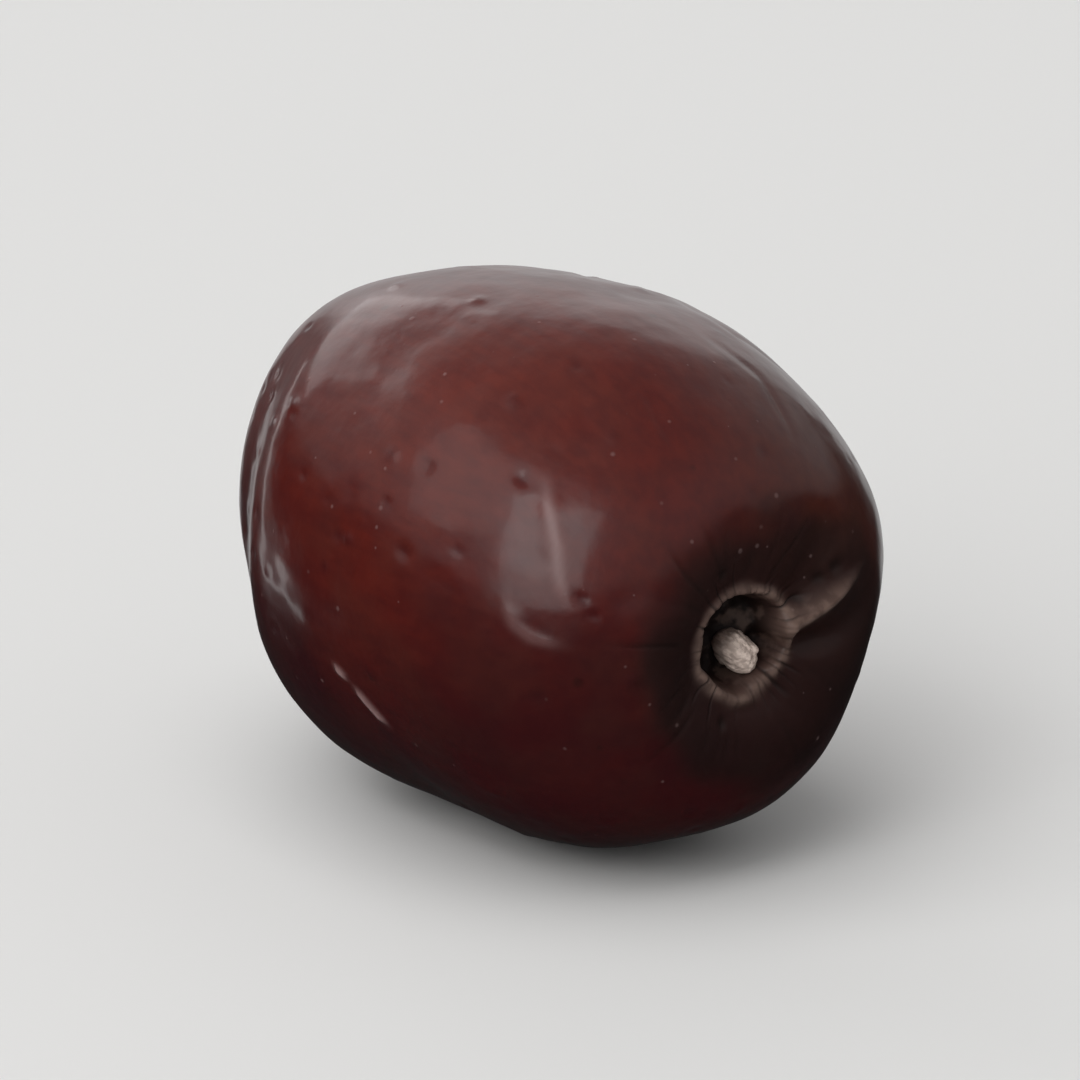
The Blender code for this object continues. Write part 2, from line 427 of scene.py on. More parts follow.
class JujubeScar(PropertyGroup):
    """Sizes and place of the dry stalk scar in the pit."""

    offset_y: FloatProperty(
        name="Offset Y", description="Place beside the pit's middle", default=0.50 * MM, unit="LENGTH"
    )
    offset_z: FloatProperty(
        name="Offset Z", description="Place above the pit's middle", default=-0.70 * MM, unit="LENGTH"
    )
    length: FloatProperty(
        name="Length", description="From its root to its broken top", default=1.60 * MM, unit="LENGTH"
    )
    root: FloatProperty(
        name="Root", description="How deep it is sunk in the pit", default=0.30 * MM, unit="LENGTH"
    )
    breadth: FloatProperty(
        name="Breadth", description="Half of its wide side", default=0.72 * MM, unit="LENGTH"
    )
    thickness: FloatProperty(
        name="Thickness", description="Half of its thin side", default=0.60 * MM, unit="LENGTH"
    )
    lean: FloatProperty(
        name="Lean", description="Lean from the fruit's axis", default=math.radians(30), subtype="ANGLE"
    )
    slant: FloatProperty(
        name="Slant", description="Side that it leans to", default=math.radians(-54), subtype="ANGLE"
    )


class JujubeColours(PropertyGroup):
    """Colours of the skin and of the dry tissue, some of them also painted as shade, light and highlights.
    """

    red: FloatVectorProperty(
        name="Red", description="Ripe skin", subtype="COLOR", size=4, default=(0.086, 0.0072, 0.0046, 1.0)
    )
    brown: FloatVectorProperty(
        name="Brown", description="Weathered skin",
        subtype="COLOR", size=4, default=(0.062, 0.0165, 0.0085, 1.0),
    )
    # Maroon is the skin's deep tone in its blotches and streaks, and also the painted shade low down and in
    # the dimples and pores
    maroon: FloatVectorProperty(
        name="Maroon", description="Deep skin",
        subtype="COLOR", size=4, default=(0.030, 0.0020, 0.0042, 1.0),
    )
    # The flush is partly the skin's redder tone and partly painted light on the upper flank
    flush: FloatVectorProperty(
        name="Flush", description="Sunny side",
        subtype="COLOR", size=4, default=(0.150, 0.0200, 0.0100, 1.0),
    )
    # Dark is partly the darker skin of the basin and its dots, and also painted shade in the basin, pit,
    # puckers, cracks and pinholes
    dark: FloatVectorProperty(
        name="Dark", description="Skin in the basin",
        subtype="COLOR", size=4, default=(0.011, 0.0034, 0.0022, 1.0),
    )
    cork: FloatVectorProperty(
        name="Cork", description="Corky lip of the pit",
        subtype="COLOR", size=4, default=(0.170, 0.108, 0.086, 1.0),
    )
    pith: FloatVectorProperty(
        name="Pith", description="Pale dry stalk",
        subtype="COLOR", size=4, default=(0.780, 0.640, 0.560, 1.0),
    )
    # Wax is the pale tone of the lenticels, and also a painted highlight on the raised scuffs
    wax_and_glint: FloatVectorProperty(
        name="Wax", description="Thin bloom of wax",
        subtype="COLOR", size=4, default=(0.420, 0.280, 0.270, 1.0),
    )


class JujubeStage(PropertyGroup):
    """Camera, floor and lights."""

    azimuth: FloatProperty(
        name="Azimuth", description="Camera's turn from -Y", default=math.radians(54), subtype="ANGLE"
    )
    elevation: FloatProperty(
        name="Elevation", description="Camera's height angle", default=math.radians(19.5), subtype="ANGLE"
    )
    distance: FloatProperty(name="Distance", description="Camera to fruit", default=0.75, unit="LENGTH")
    view_width: FloatProperty(
        name="View width", description="Width seen at the fruit", default=0.041, unit="LENGTH"
    )
    floor: FloatVectorProperty(
        name="Floor", description="Colour of the floor",
        subtype="COLOR", size=4, default=(0.78, 0.775, 0.765, 1.0),
    )
    world: FloatProperty(
        name="Room light", description="Strength of the even light of the room", default=0.40
    )
    light: FloatProperty(name="Studio light", description="Strength of all the soft boxes", default=1.0)


def hump(distance, width):
    """One at the middle and fading to nothing past the width."""
    return np.exp(-((distance / width) ** 2))


def ease(value):
    """Smooth step from 0 to 1."""
    value = np.clip(value, 0.0, 1.0)
    return value * value * (3.0 - 2.0 * value)


def turn_between(first, second):
    """Difference of two angles, between minus pi and pi."""
    return (first - second + math.pi) % (2.0 * math.pi) - math.pi


def reach_at(shape, radius, reach, bluntness):
    """How far the plain rounded end stands out at a distance from the axis."""
    share = np.minimum(radius / (0.5 * shape.height), 1.0)
    return reach * (1.0 - share**2) ** (1.0 / bluntness)


def ring_radii(bands):
    """Radii in metres, spaced evenly within each band given as (outer radius in mm, count)."""
    radii = [0.0]
    for outer, count in bands:
        inner = radii[-1]
        radii += [inner + (outer - inner) * (step + 1) / count for step in range(count)]
    return [radius * MM for radius in radii]


def half_outline(shape):
    """Half outline as (x, radius), from the blossom end to the stem end."""
    apex = np.array(ring_radii(APEX_RINGS))
    stem = np.array(ring_radii(STEM_RINGS))[::-1]
    full = 0.5 * shape.height
    turn = np.linspace(math.asin(apex[-1] / full), math.pi - math.asin(stem[0] / full), OUTLINE_SAMPLES)
    radius = full * np.sin(turn)
    before = -reach_at(shape, radius, shape.apex_reach, shape.apex_bluntness)
    after = reach_at(shape, radius, shape.stem_reach, shape.stem_bluntness)
    x = np.where(turn < 0.5 * math.pi, before, after)
    length = np.concatenate([[0.0], np.cumsum(np.hypot(np.diff(x), np.diff(radius)))])
    even = np.linspace(0.0, length[-1], FLANK_RINGS + 1)[1:-1]
    flank = list(zip(np.interp(even, length, x), np.interp(even, length, radius)))
    outline = list(zip(-reach_at(shape, apex, shape.apex_reach, shape.apex_bluntness), apex))
    return outline + flank + list(zip(reach_at(shape, stem, shape.stem_reach, shape.stem_bluntness), stem))


def turned_body(shape):
    """Spin the half outline into a closed body and return it as a mesh."""
    body = bmesh.new()
    ring = [body.verts.new((x, radius, 0.0)) for x, radius in half_outline(shape)]
    edges = [body.edges.new(pair) for pair in zip(ring, ring[1:])]
    bmesh.ops.spin(
        body,
        geom=ring + edges,
        cent=(0.0, 0.0, 0.0),
        axis=(1.0, 0.0, 0.0),
        angle=2.0 * math.pi,
        steps=shape.segments,
        use_merge=True,
    )
    bmesh.ops.remove_doubles(body, verts=body.verts, dist=MERGE_DISTANCE)
    bmesh.ops.recalc_face_normals(body, faces=body.faces)
    mesh = bpy.data.meshes.new("jujube_skin")
    body.to_mesh(mesh)
    body.free()
    return mesh


def read_points(mesh):
    """The mesh's points, one row each."""
    points = np.empty(len(mesh.vertices) * 3)
    mesh.vertices.foreach_get("co", points)
    return points.reshape(-1, 3)


def write_points(mesh, points):
    """Move the mesh's points to these rows."""
    mesh.vertices.foreach_set("co", points.ravel())
    mesh.update()


def write_mask(mesh, name, values):
    """Keep a value for each point of the mesh, for its material to read."""
    mask = mesh.attributes.new(name, "FLOAT", "POINT")
    mask.data.foreach_set("value", np.clip(values, 0.0, 1.0).astype(np.float32))


def fold_height(radius, angle):
    """Folds of the shoulder round the pit."""
    ring = np.exp(-(((radius - FOLD_RADIUS) / FOLD_SPREAD) ** 4))
    angle = angle - FOLD_TWIST * (radius - FOLD_RADIUS)
    return sum(
        rise * MM * ring * hump(turn_between(angle, math.radians(middle)), math.radians(spread))
        for middle, rise, spread in FOLDS
    )


def ridge_closeness(points):
    """How near a point is to the sharp ridge, which narrows away from the pit and fades at both ends."""
    run = np.array(RIDGE_END - RIDGE_START)
    offset = points[:, 1:] - np.array(RIDGE_START)
    along = offset @ run / (run @ run)
    across = np.linalg.norm(offset - along[:, None] * run, axis=1)
    width = RIDGE_START_WIDTH + (RIDGE_END_WIDTH - RIDGE_START_WIDTH) * ease(along)
    fade = ease(1.0 + along / RIDGE_FADE) * ease((1.0 - along) / RIDGE_FADE)
    return fade * hump(across, width)


def puckers(angle, radius, seed_step, count, reach, widths):
    """Narrow radial wrinkles round an end: 0 between them and up to 1 in each."""
    draw = np.random.default_rng(RELIEF_SEED + seed_step)
    total = np.zeros_like(angle)
    for index in range(count):
        middle = 2.0 * math.pi * (index + draw.uniform(-PUCKER_SCATTER, PUCKER_SCATTER)) / count
        wander = draw.uniform(-PUCKER_WANDER, PUCKER_WANDER)
        wander = wander * np.sin(radius / MM * draw.uniform(*PUCKER_WAVES) + draw.uniform(*PUCKER_PHASES))
        width = draw.uniform(*widths) * MM
        near = draw.uniform(*PUCKER_START) * reach
        far = near + draw.uniform(*PUCKER_RUN) * reach
        rise = ease((radius - near) / (PUCKER_FADE_IN * reach))
        fade = rise * ease((far - radius) / (PUCKER_FADE_OUT * reach))
        across = turn_between(angle, middle + wander) * np.maximum(radius, PUCKER_AXIS)
        total += draw.uniform(*PUCKER_STRENGTH) * fade * hump(across, width)
    return total


def slow_waves(points, seed_step, wavelengths, count):
    """Even, random swelling from a sum of plane waves, about -1 to 1."""
    draw = np.random.default_rng(RELIEF_SEED + seed_step)
    total = np.zeros(len(points))
    for _ in range(count):
        direction = draw.normal(size=3)
        direction *= 2.0 * math.pi / (draw.uniform(*wavelengths) * np.linalg.norm(direction))
        total += np.sin(points @ direction + draw.uniform(0.0, 2.0 * math.pi))
    return total / math.sqrt(count)


def small_dimples(shape, points, seed_step, count, radii, slopes, raised):
    """Round dimples, some of them raised: depth at each point, and how near a dimple's middle it is."""
    draw = np.random.default_rng(RELIEF_SEED + seed_step)
    outline = np.array(half_outline(shape))
    depth = np.zeros(len(points))
    spot = np.zeros(len(points))
    for _ in range(count):
        x = draw.uniform(-shape.apex_reach, DIMPLE_LIMIT * shape.stem_reach)
        turn = draw.uniform(0.0, 2.0 * math.pi)
        from_axis = np.interp(x, outline[:, 0], outline[:, 1])
        middle = np.array([x, from_axis * math.cos(turn), from_axis * math.sin(turn)])
        radius = draw.uniform(*radii) * MM
        slope = draw.uniform(*slopes)
        side = -1.0 if draw.random() < raised else 1.0
        near = np.abs(points[:, 0] - x) < DIMPLE_CUTOFF * radius
        closeness = hump(np.linalg.norm(points[near] - middle, axis=1), radius)
        depth[near] += side * slope * radius * closeness
        spot[near] = np.maximum(spot[near], closeness * slope / slopes[1])
    return depth, spot


def pinhole_depth(points):
    """Depth of the dark pinholes beside the pit, and how near a point is to the middle of one."""
    depth = np.zeros(len(points))
    spot = np.zeros(len(points))
    for from_axis, turn, radius, deepest in PINHOLES:
        angle = math.radians(turn)
        middle = np.array([from_axis * MM * math.cos(angle), from_axis * MM * math.sin(angle)])
        closeness = hump(np.linalg.norm(points[:, 1:] - middle, axis=1), radius * MM)
        depth += deepest * MM * closeness
        spot = np.maximum(spot, closeness)
    return depth, spot


def line_mask(x, angle, points, width):
    """Closeness to a line of points on the unrolled flank, fading toward both of its ends."""
    spot = np.stack([x, angle * UNROLLED_RADIUS], axis=1)
    path = np.array([(place * MM, math.radians(turn) * UNROLLED_RADIUS) for place, turn in points])
    round_trip = 2.0 * math.pi * UNROLLED_RADIUS
    spot[:, 1] = path[0, 1] + (spot[:, 1] - path[0, 1] + 0.5 * round_trip) % round_trip - 0.5 * round_trip
    lengths = np.linalg.norm(np.diff(path, axis=0), axis=1)
    nearest = np.full(len(x), np.inf)
    travelled = np.zeros(len(x))
    for index, length in enumerate(lengths):
        run = (path[index + 1] - path[index]) / length
        along = np.clip((spot - path[index]) @ run, 0.0, length)
        away = np.linalg.norm(spot - path[index] - along[:, None] * run, axis=1)
        closer = away < nearest
        nearest = np.where(closer, away, nearest)
        travelled = np.where(closer, lengths[:index].sum() + along, travelled)
    share = travelled / lengths.sum()
    fade = ease(CREASE_END + share / CREASE_FADE) * ease(CREASE_END + (1.0 - share) / CREASE_FADE)
    return hump(nearest, width) * fade


def crease_masks(x, angle):
    """Total depth of the creases, and how pale their raised scuffs are, partly scuffed skin and partly a
    painted highlight.
    """
    depth = np.zeros_like(x)
    scuff_and_glint = np.zeros_like(x)
    for width, deepest, paleness, points in CREASES:
        line = line_mask(x, angle, points, width * MM)
        depth += deepest * MM * line
        scuff_and_glint = np.maximum(scuff_and_glint, paleness * line)
    return depth, scuff_and_glint


def lobed(shape, points):
    """Make the turned section slightly oval and uneven."""
    angle = np.arctan2(points[:, 2], points[:, 1])
    scale = 1.0 + sum(share * np.cos(turns * angle - math.radians(phase)) for turns, share, phase in LOBES)
    across = points[:, 1] * scale * shape.width / shape.height
    return np.stack([points[:, 0], across, points[:, 2] * scale], axis=1)


def dent_depth(shape, points):
    """Total depth of the dents and the long furrow."""
    depth = np.zeros(len(points))
    for x, turn, radius, deepest in DENTS:
        angle = math.radians(turn)
        across = 0.5 * shape.width * math.cos(angle)
        middle = np.array([x * MM, across, 0.5 * shape.height * math.sin(angle)])
        depth += deepest * MM * hump(np.linalg.norm(points - middle, axis=1), radius * MM)
    offset = points - np.array(FURROW_MIDDLE)
    fade = np.exp(-((offset[:, 2] / FURROW_HALF_SPAN) ** 4))
    furrow = FURROW_DEPTH * hump(offset @ np.array(FURROW_ACROSS), FURROW_WIDTH) * fade
    return depth + np.where(points[:, 1] < 0.0, furrow, 0.0)


def shape_skin(shape, mesh):
    """Move the turned body's points to the fruit's surface and keep the masks for its material."""
    plain = read_points(mesh)
    x = plain[:, 0]
    radius = np.hypot(plain[:, 1], plain[:, 2])
    angle = np.arctan2(plain[:, 2], plain[:, 1])
    angle -= FINE_SHARE * np.sin(angle - FINE_SIDE)
    plain = np.stack([x, radius * np.cos(angle), radius * np.sin(angle)], axis=1)
    at_stem = x > 0.0

    uneven = radius + LIP_WANDER * slow_waves(plain, *LIP_WAVES)
    pit = ease((shape.pit_radius + 0.5 * shape.pit_wall - uneven) / shape.pit_wall) * at_stem
    lip = hump(uneven - shape.lip_radius, shape.lip_width) * at_stem
    cracks = puckers(angle, radius, *LIP_CRACKS) * at_stem * (1.0 - pit)
    basin = hump(radius, shape.basin_radius) * at_stem
    ridge = ridge_closeness(plain) * at_stem
    folds = fold_height(radius, angle) * at_stem + RIDGE_HEIGHT * ridge
    stem_puckers = puckers(angle, radius, *STEM_PUCKERS) * at_stem
    apex_puckers = puckers(angle, radius, *APEX_PUCKERS) * ~at_stem
    pinholes, pinhole_spots = pinhole_depth(plain)
    point = hump(radius, shape.point_radius) * ~at_stem
    dimple = hump(radius, shape.dimple_radius) * ~at_stem

    ragged = 1.0 + LIP_RAGGEDNESS * slow_waves(plain, *LIP_TOP_WAVES)
    moved = plain.copy()
    stem_height = folds + shape.lip_height * lip * ragged
    stem_height = stem_height - shape.basin_depth * basin - shape.pit_depth * pit
    stem_height -= LIP_CRACK_DEPTH * cracks + pinholes
    stem_height += PIT_ROUGHNESS * pit * slow_waves(plain, *PIT_WAVES)
    moved[:, 0] += np.where(at_stem, stem_height, shape.dimple_depth * dimple - shape.point_height * point)
    beside = (hump(radius, shape.basin_shift) * at_stem)[:, None]
    moved += beside * np.array([0.0, shape.basin_y, shape.basin_z])
    moved = lobed(shape, moved)

    waves = slow_waves(plain, *SWELL_WAVES)
    ripples = slow_waves(plain, *RIPPLE_WAVES)
    creases, scuff_and_glint = crease_masks(x, angle)
    dimples, spots = small_dimples(shape, plain, *DIMPLES)
    pores, pore_spots = small_dimples(shape, plain, *PORES)
    fine = shape.wrinkle_depth * (stem_puckers * (1.0 - pit) + apex_puckers)
    fine += dimples + pores - shape.swell_height * waves - shape.ripple_height * ripples
    outward = np.stack([DENT_LEAN * moved[:, 0], moved[:, 1], moved[:, 2]], axis=1)
    outward /= np.maximum(np.linalg.norm(outward, axis=1, keepdims=True), TINY)
    axial = ease((abs(x) - CAP_START) / CAP_BLEND)[:, None] * np.sign(x)[:, None]
    relief_way = outward * (1.0 - abs(axial)) + axial * np.array([1.0, 0.0, 0.0])
    moved -= outward * dent_depth(shape, moved)[:, None]
    moved -= relief_way * (fine * (1.0 - pit) + creases)[:, None]
    lean = ease(moved[:, 0] / shape.stem_reach)
    moved += lean[:, None] * np.array([0.0, shape.stem_drift, -shape.stem_drop])
    moved = set_on_ground(shape, moved)
    write_points(mesh, moved)

    # Painted shade in the stem basin, with the skin's darker tone there
    stain_and_shade = radius - STAIN_AND_SHADE_WANDER * slow_waves(plain, *STAIN_AND_SHADE_WAVES)
    stain_and_shade -= STAIN_AND_SHADE_SIDE_REACH * hump(turn_between(angle, STAIN_AND_SHADE_SIDE), STAIN_AND_SHADE_SIDE_SPREAD)
    masks = {
        "pit": pit,
        "lip": lip,
        "basin": ease((STAIN_AND_SHADE_RADIUS - stain_and_shade) / STAIN_AND_SHADE_EDGE) * at_stem,
        "crack": np.maximum(cracks, pinhole_spots * at_stem),
        "flush": hump(np.linalg.norm(moved - FLUSH_AND_LIGHT_PLACE, axis=1), FLUSH_AND_LIGHT_RADIUS),
        "ridge": ridge,
        "pucker": stem_puckers + apex_puckers,
        "tip": np.maximum(point, TIP_STAIN_SHARE * hump(radius, TIP_STAIN_RADIUS) * ~at_stem),
        "scuff_and_glint": scuff_and_glint,
        # Painted shade at the middles of the dimples and pores
        "spot": np.maximum(DIMPLE_SHADE_TONE * spots, pore_spots),
    }
    for name, values in masks.items():
        write_mask(mesh, name, values)


def set_on_ground(shape, points):
    """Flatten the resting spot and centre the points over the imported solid's place."""
    floor = points[:, 2].min() + shape.flat_depth
    points[:, 2] = np.maximum(points[:, 2], floor)
    low, high = (np.array(corner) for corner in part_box(FRUIT_NODE))
    middle = 0.5 * (points.min(axis=0) + points.max(axis=0))
    shift = 0.5 * (low + high) - middle
    shift[2] = low[2] - floor
    return points + shift


def new_object(name, mesh):
    """Put a new object in the scene, at the origin."""
    item = bpy.data.objects.new(name, mesh)
    bpy.context.scene.collection.objects.link(item)
    return item


class NodeBench:
    """Short calls for building one node tree."""

    def __init__(self, tree):
        self.tree = tree

    def add(self, kind, **settings):
        node = self.tree.nodes.new(kind)
        for key, value in settings.items():
            setattr(node, key, value)
        return node

    def join(self, source, target):
        self.tree.links.new(source, target)

    def feed(self, target, value):
        """Link a socket, or set a plain value."""
        if isinstance(value, bpy.types.NodeSocket):
            self.join(value, target)
        else:
            target.default_value = value

    def mix(self, factor, first, second):
        """Mix two colours."""
        node = self.add("ShaderNodeMix", data_type="RGBA")
        self.feed(node.inputs[0], factor)
        self.feed(node.inputs[6], first)
        self.feed(node.inputs[7], second)
        return node.outputs[2]

    def tint(self, colour, layer, share, other):
        """Mix another colour in where a layer is strong."""
        return self.mix(self.times(layer, share), colour, tuple(other))

    def math(self, operation, first, second):
        """One step of arithmetic."""
        node = self.add("ShaderNodeMath", operation=operation)
        self.feed(node.inputs[0], first)
        self.feed(node.inputs[1], second)
        return node.outputs[0]

    def times(self, first, second):
        return self.math("MULTIPLY", first, second)

    def spread(self, value, low, high, to_low=0.0, to_high=1.0):
        """Map one range smoothly onto another."""
        node = self.add("ShaderNodeMapRange", interpolation_type="SMOOTHSTEP")
        limits = {"Value": value, "From Min": low, "From Max": high, "To Min": to_low, "To Max": to_high}
        for label, limit in limits.items():
            self.feed(node.inputs[label], limit)
        return node.outputs["Result"]

    def mask(self, name):
        """Value that the mesh keeps under that name."""
        return self.add("ShaderNodeAttribute", attribute_name=name).outputs["Fac"]

    def group(self, tree, **values):
        """Node group with its inputs set or linked."""
        node = self.add("ShaderNodeGroup", node_tree=tree)
        for key, value in values.items():
            self.feed(node.inputs[key], value)
        return node.outputs[0]


def group_tree(name, inputs, output):
    """Empty node group with named inputs and one float output."""
    tree = bpy.data.node_groups.new(name, "ShaderNodeTree")
    for label, kind, default in inputs:
        socket = tree.interface.new_socket(label, in_out="INPUT", socket_type=kind)
        if default is not None:
            socket.default_value = default
    tree.interface.new_socket(output, in_out="OUTPUT", socket_type="NodeSocketFloat")
    return tree


def blotch_group():
    """Soft random blotches of one size."""
    tree = group_tree(
        "Blotches",
        (
            ("Vector", "NodeSocketVector", None),
            ("Size", "NodeSocketFloat", 4.0),
            ("Low", "NodeSocketFloat", 0.35),
            ("High", "NodeSocketFloat", 0.65),
            ("Detail", "NodeSocketFloat", 3.0),
            ("Distortion", "NodeSocketFloat", 0.0),
        ),
        "Mask",
    )
    bench = NodeBench(tree)
    start = bench.add("NodeGroupInput")
    noise = bench.add("ShaderNodeTexNoise")
    for label in ("Vector", "Detail", "Distortion"):
        bench.join(start.outputs[label], noise.inputs[label])
    bench.join(bench.math("DIVIDE", 1.0 / MM, start.outputs["Size"]), noise.inputs["Scale"])
    shown = bench.spread(noise.outputs["Fac"], start.outputs["Low"], start.outputs["High"])
    end = bench.add("NodeGroupOutput")
    bench.join(shown, end.inputs["Mask"])
    return tree


def speck_group():
    """Small round specks, scattered, each of its own size."""
    tree = group_tree(
        "Specks",
        (
            ("Vector", "NodeSocketVector", None),
            ("Spacing", "NodeSocketFloat", 1.2),
            ("Radius", "NodeSocketFloat", 0.1),
            ("Share", "NodeSocketFloat", 0.5),
        ),
        "Mask",
    )
    bench = NodeBench(tree)
    start = bench.add("NodeGroupInput")
    cells = bench.add("ShaderNodeTexVoronoi", feature="F1")
    bench.join(start.outputs["Vector"], cells.inputs["Vector"])
    bench.join(bench.math("DIVIDE", 1.0 / MM, start.outputs["Spacing"]), cells.inputs["Scale"])
    tone = bench.add("ShaderNodeSeparateColor")
    bench.join(cells.outputs["Color"], tone.inputs["Color"])
    kept = bench.math("LESS_THAN", tone.outputs["Red"], start.outputs["Share"])
    grown = bench.math("MULTIPLY_ADD", tone.outputs["Green"], SPECK_GROWTH)
    grown.node.inputs[2].default_value = SPECK_LEAST
    share = bench.math("DIVIDE", start.outputs["Radius"], start.outputs["Spacing"])
    radius = bench.times(grown, share)
    away = bench.math("DIVIDE", cells.outputs["Distance"], radius)
    round_spot = bench.spread(away, *SPECK_EDGE, 1.0, 0.0)
    end = bench.add("NodeGroupOutput")
    bench.join(bench.times(round_spot, kept), end.inputs["Mask"])
    return tree


def shared_group(name, maker):
    """The node group of that name, made the first time."""
    return bpy.data.node_groups.get(name) or maker()


def new_material(name):
    """A material, the bench for its nodes, and its shader."""
    material = bpy.data.materials.new(name)
    material.use_nodes = True
    return material, NodeBench(material.node_tree), material.node_tree.nodes["Principled BSDF"]


def noise_height(bench, place, size, detail):
    """Even noise of one size, for a bump."""
    noise = bench.add("ShaderNodeTexNoise")
    bench.join(place, noise.inputs["Vector"])
    noise.inputs["Scale"].default_value = 1.0 / size
    noise.inputs["Detail"].default_value = detail
    return noise.outputs["Fac"]


def add_bump(bench, shader, height, strength, depth):
    """Let a height bump the shader's normal."""
    bump = bench.add("ShaderNodeBump")
    bump.inputs["Strength"].default_value = strength
    bump.inputs["Distance"].default_value = depth
    bench.join(height, bump.inputs["Height"])
    bench.join(bump.outputs["Normal"], shader.inputs["Normal"])


def stretched(bench, place, stretch):
    """Object coordinates squeezed along X, so that a noise runs lengthwise."""
    mapping = bench.add("ShaderNodeMapping")
    bench.join(place, mapping.inputs["Vector"])
    mapping.inputs["Scale"].default_value = stretch
    return mapping.outputs["Vector"]


def ripe_colour(bench, colours, place, wide, middling):
    """Maroon below as painted shade and red above as painted light, mixed with wide blotches of the skin's
    own red and maroon, and brown on the far upper stem side.
    """
    axes = bench.add("ShaderNodeSeparateXYZ")
    bench.join(place, axes.inputs["Vector"])
    # Painted shade and light: the skin is darker maroon low down and redder higher up
    height = bench.spread(axes.outputs["Z"], *SHADE_HEIGHT_RANGE)
    ripeness_and_light = bench.math("MULTIPLY_ADD", wide, RED_BY_BLOTCH)
    bench.feed(ripeness_and_light.node.inputs[2], bench.times(height, LIGHT_BY_HEIGHT))
    colour = bench.mix(bench.spread(ripeness_and_light, *RED_RANGE), tuple(colours.maroon), tuple(colours.red))
    toward_stem = bench.spread(axes.outputs["X"], *STEM_SIDE_RANGE)
    far_side = bench.spread(axes.outputs["Y"], *FAR_SIDE_RANGE)
    side = bench.times(bench.times(toward_stem, far_side), height)
    weathered = bench.times(side, BROWN_SIDE)
    weathered = bench.math("MAXIMUM", weathered, bench.times(middling, BROWN_BLOTCHES))
    return bench.mix(weathered, colour, tuple(colours.brown))


def skin_material(colours):
    """Waxy red skin with blotches, a dark basin, a corky lip and pale specks, with painted shade low down
    and in the basin, pit, puckers, cracks, dimples and pores, painted light on the upper flank, and painted
    highlights on the scuffs and the ridge.
    """
    material, bench, shader = new_material("jujube_skin")
    blotches = shared_group("Blotches", blotch_group)
    specks = shared_group("Specks", speck_group)
    place = bench.add("ShaderNodeTexCoord").outputs["Object"]
    wide = bench.group(blotches, Vector=place, **WIDE_BLOTCHES)
    middling = bench.group(blotches, Vector=place, **MIDDLING_BLOTCHES)
    small = bench.group(blotches, Vector=place, **SMALL_BLOTCHES)
    streaks = bench.group(blotches, Vector=stretched(bench, place, STREAK_STRETCH), **STREAKS)
    freckles = bench.group(specks, Vector=place, **FRECKLES)
    dots = bench.group(specks, Vector=place, **DOTS)

    colour = ripe_colour(bench, colours, place, wide, middling)
    # Painted light, with the skin's redder tone, on the upper flank
    colour = bench.tint(colour, bench.mask("flush"), FLUSH_AND_LIGHT_SHARE, colours.flush)
    colour = bench.tint(colour, small, SMALL_SHARE, colours.maroon)
    colour = bench.tint(colour, streaks, STREAK_SHARE, colours.maroon)
    # Painted shade in the stem basin, with darker skin there
    colour = bench.tint(colour, bench.mask("basin"), BASIN_SHADE_SHARE, colours.dark)
    # Painted shade in the puckers round both ends
    colour = bench.tint(colour, bench.mask("pucker"), PUCKER_SHADE_SHARE, colours.dark)
    # Corky tone on the ridge, partly a painted highlight on its crest
    colour = bench.tint(colour, bench.mask("ridge"), bench.spread(small, *RIDGE_CORK_AND_HIGHLIGHT), colours.cork)
    # Painted shade in the dimples and pores
    colour = bench.tint(colour, bench.mask("spot"), SPOT_SHADE_SHARE, colours.maroon)
    # Painted highlight on the raised scuffs, with their scuffed skin
    colour = bench.tint(colour, bench.mask("scuff_and_glint"), SCUFF_AND_GLINT_SHARE, colours.wax_and_glint)
    colour = bench.tint(colour, freckles, FRECKLE_SHARE, colours.wax_and_glint)
    colour = bench.tint(colour, dots, DOT_SHARE, colours.dark)
    cork = bench.times(bench.mask("lip"), bench.spread(small, *LIP_CORK))
    colour = bench.mix(bench.math("MAXIMUM", cork, bench.mask("tip")), colour, tuple(colours.cork))
    # Painted shade in the lip's cracks and in the pinholes
    colour = bench.tint(colour, bench.mask("crack"), CRACK_SHADE_SHARE, colours.dark)
    # Floor of the pit: dark, partly its brown tissue and partly painted shade in the pit, with corky
    # blotches
    floor = bench.mix(bench.spread(small, *PIT_CORK), tuple(colours.dark), tuple(colours.cork))
    colour = bench.mix(bench.mask("pit"), colour, floor)
    bench.join(colour, shader.inputs["Base Color"])

    dull = bench.math("MAXIMUM", cork, bench.mask("pit"))
    dull = bench.math("MAXIMUM", dull, bench.times(freckles, DULL_FRECKLES))
    dull = bench.math("MAXIMUM", dull, bench.times(bench.mask("basin"), DULL_BASIN))
    dull = bench.math("MAXIMUM", dull, bench.mask("ridge"))
    satin = bench.spread(middling, 0.0, 1.0, *SKIN_ROUGHNESS)
    roughness = bench.math("ADD", satin, bench.times(dull, DULL_ROUGHNESS))
    bench.join(roughness, shader.inputs["Roughness"])
    bench.join(bench.spread(dull, 0.0, 1.0, COAT_WEIGHT, 0.0), shader.inputs["Coat Weight"])
    shader.inputs["Coat Roughness"].default_value = COAT_ROUGHNESS
    shader.inputs["IOR"].default_value = SKIN_IOR
    shader.inputs["Metallic"].default_value = 0.0

    grain = bench.times(noise_height(bench, place, GRAIN_SIZE, GRAIN_DETAIL), GRAIN_SHARE)
    grain = bench.math("ADD", grain, bench.times(freckles, GRAIN_FRECKLES))
    height = bench.math("ADD", grain, noise_height(bench, place, PEEL_SIZE, PEEL_DETAIL))
    add_bump(bench, shader, height, SKIN_BUMP, SKIN_BUMP_DEPTH)
    return material


